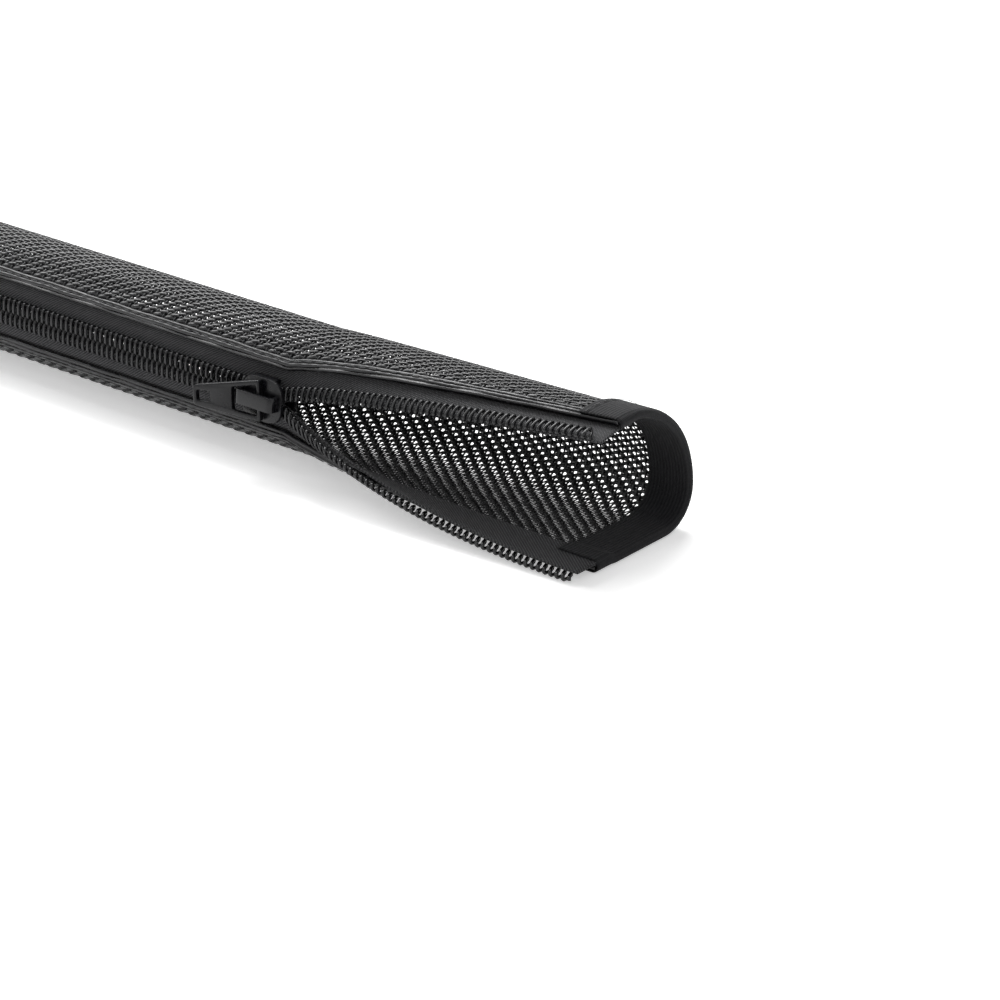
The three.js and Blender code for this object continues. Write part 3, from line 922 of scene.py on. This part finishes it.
def standUp(bm, width):
    # Turns a side view, drawn in x and y, to stand along the zip with its width across
    bmesh.ops.rotate(bm, verts=bm.verts, cent=(0, 0, 0), matrix=Matrix.Rotation(math.pi / 2, 3, "X"))
    bmesh.ops.translate(bm, verts=bm.verts, vec=(0, width / 2, 0))
    return bm


def makeCrown(matrix):
    top = plateTop + crown["room"] + crown["thickness"]
    outline = archOutline(crown["front"] - crown["length"], crown["front"], plateTop + crown["base"], top,
                          crown["thickness"], crown["bend"])
    piece = joinedObject([standUp(prism(outline, 0, crown["width"]), crown["width"])], "slider_cap")
    softEdges(piece, crown["bevel"], matrix)
    dress(piece, gloss, "slider", ["slider_crown"])


def makeSpring(matrix):
    thick, foot = spring["thickness"], spring["foot"]
    top = plateTop + crown["room"] - spring["room"]
    x = crown["front"] - crown["length"] + crown["thickness"] + spring["legGap"]
    front = tab["place"] - tab["bar"] - spring["room"]
    outline = [(x, foot), (x, top), (front, top), (front, top - thick),
               (x + thick, top - thick), (x + thick, foot)]
    side = standUp(prism(outline, 0, spring["width"]), spring["width"])
    piece = joinedObject([side], "slider_spring")
    softEdges(piece, spring["bevel"], matrix, 2)
    dress(piece, steel, "slider", ["lock_spring"])


def makePullTab(matrix):
    length, root, end = tab["length"], tab["root"], tab["end"]
    half = tab["thickness"] / 2

    def halfAt(x):
        return root + (end - root) * x / length

    past, cut = tab["rootPast"], tab["cut"]
    corners = [(-length, -end), (past, -root), (past, root), (-length, end)]
    piece = joinedObject([prism(rounded(corners, tab["rounds"]), -half, half)], "tab_plate")
    far = tab["bar"] + tab["window"]
    near = -tab["bar"] * tab["windowPast"]
    farHalf, nearHalf = halfAt(far) - tab["sideBar"], root - tab["sideBar"]
    window = [(-far, -farHalf), (near, -nearHalf), (near, nearHalf), (-far, farHalf)]
    combine(piece, joinedObject([prism(rounded(window, tab["windowRound"]), -cut, cut)], "cut"), "DIFFERENCE")
    holeEnd = -length + tab["holeInset"]
    w = tab["hole"][1] / 2
    hole = [(holeEnd, -w), (holeEnd + tab["hole"][0], -w), (holeEnd + tab["hole"][0], w), (holeEnd, w)]
    combine(piece, joinedObject([prism(rounded(hole, tab["holeRound"]), -cut, cut)], "cut"), "DIFFERENCE")
    hang = Matrix.Translation((tab["place"], 0, plateTop + tab["gap"] + tab["bar"]))
    turned = hang @ Matrix.Rotation(tab["droop"], 4, "Z") @ Matrix.Rotation(tab["tilt"], 4, "Y")
    softEdges(piece, tab["bevel"], matrix @ turned)
    dress(piece, paint, "tab", ["pull_tab"])


# Camera, floor and lights

view = {
    "eye": (694.7, -583.4, 340.9),
    "look": 50.31 * degree,  # how far the sleeve turns from the line of sight
    "down": 24.0 * degree,
    "lens": 127.1,
}


def makeCamera():
    data = bpy.data.cameras.new("camera")
    data.lens = view["lens"]
    data.sensor_width = 36
    data.clip_start = 0.05
    camera = bpy.data.objects.new("camera", data)
    bpy.context.scene.collection.objects.link(camera)
    level = Vector((-math.cos(view["look"]), math.sin(view["look"]), 0)) * math.cos(view["down"])
    sight = level - Vector((0, 0, math.sin(view["down"])))
    camera.location = Vector(view["eye"]) * mm
    camera.rotation_euler = sight.to_track_quat("-Z", "Y").to_euler()
    bpy.context.scene.camera = camera


def cameraOrMirror(tree):
    # 1 for what the camera sees, straight or in a mirror or glass
    path = node(tree, "ShaderNodeLightPath")
    seen = math2(tree, "MAXIMUM", path.outputs["Is Camera Ray"], path.outputs["Is Glossy Ray"])
    return math2(tree, "MAXIMUM", seen, path.outputs["Is Transmission Ray"])


def makeFloor():
    bm = bmesh.new()
    bmesh.ops.create_grid(bm, x_segments=2, y_segments=2, size=6)
    piece = objectFrom(bm, "floor")
    made, tree, shader = material("floorPaper", (0.9, 0.9, 0.9), 0.9, Specular_IOR_Level=0.1)
    shader.inputs["Emission Color"].default_value = (1, 1, 1, 1)
    strength = math2(tree, "MULTIPLY", cameraOrMirror(tree), 0.45)
    tree.links.new(strength, shader.inputs["Emission Strength"])
    piece.data.materials.append(made)


def areaLight(name, place, target, size, power):
    data = bpy.data.lights.new(name, "AREA")
    data.shape = "RECTANGLE"
    data.size, data.size_y = size
    data.energy = power
    lamp = bpy.data.objects.new(name, data)
    bpy.context.scene.collection.objects.link(lamp)
    lamp.location = place
    lamp.rotation_euler = (Vector(target) - Vector(place)).to_track_quat("-Z", "Y").to_euler()


def makeLight():
    world = bpy.data.worlds.new("studio")
    world.use_nodes = True
    tree = world.node_tree
    background = tree.nodes["Background"]
    background.inputs["Color"].default_value = (1, 1, 1, 1)
    seen = cameraOrMirror(tree)
    strength = node(tree, "ShaderNodeMapRange", inputs={"Value": seen, "To Min": 0.3, "To Max": 1.0})
    tree.links.new(strength.outputs["Result"], background.inputs["Strength"])
    bpy.context.scene.world = world
    areaLight("top", (-0.1, 0.3, 0.8), (0.1, 0, 0), (0.5, 0.3), 8)
    areaLight("sheen", (-0.6, 0.15, 0.7), (0.05, 0, 0), (0.9, 0.3), 9)
    areaLight("side", (0.9, -0.9, 0.9), (0.1, 0, 0), (0.5, 0.5), 3)


bpy.context.scene.view_settings.view_transform = "Standard"
makeCamera()
makeFloor()
makeLight()
print("stage ready")

filament = filamentMaterial()
tapeCloth = tapeMaterial()
nylon = coilMaterial()
ribbon = bindingMaterial()
thread = threadMaterial()
paint = sliderMaterial("sliderPaint", 0.26)
gloss = sliderMaterial("capPaint", 0.18)
steel = springMaterial()

makeWarps()
makeWefts()
for side in ("upper", "lower"):
    makeTape(side)
    makeCoil(side)
    makeHemSewing(side)
print("zip ready")
for end in ("mouth", "far"):
    makeBinding(end)
    makeBindingSewing(end)
makeTack()
print("bindings ready")
seat = sliderMatrix()
makeSliderBody(seat)
makeCrown(seat)
makeSpring(seat)
makePullTab(seat)
print("slider ready")
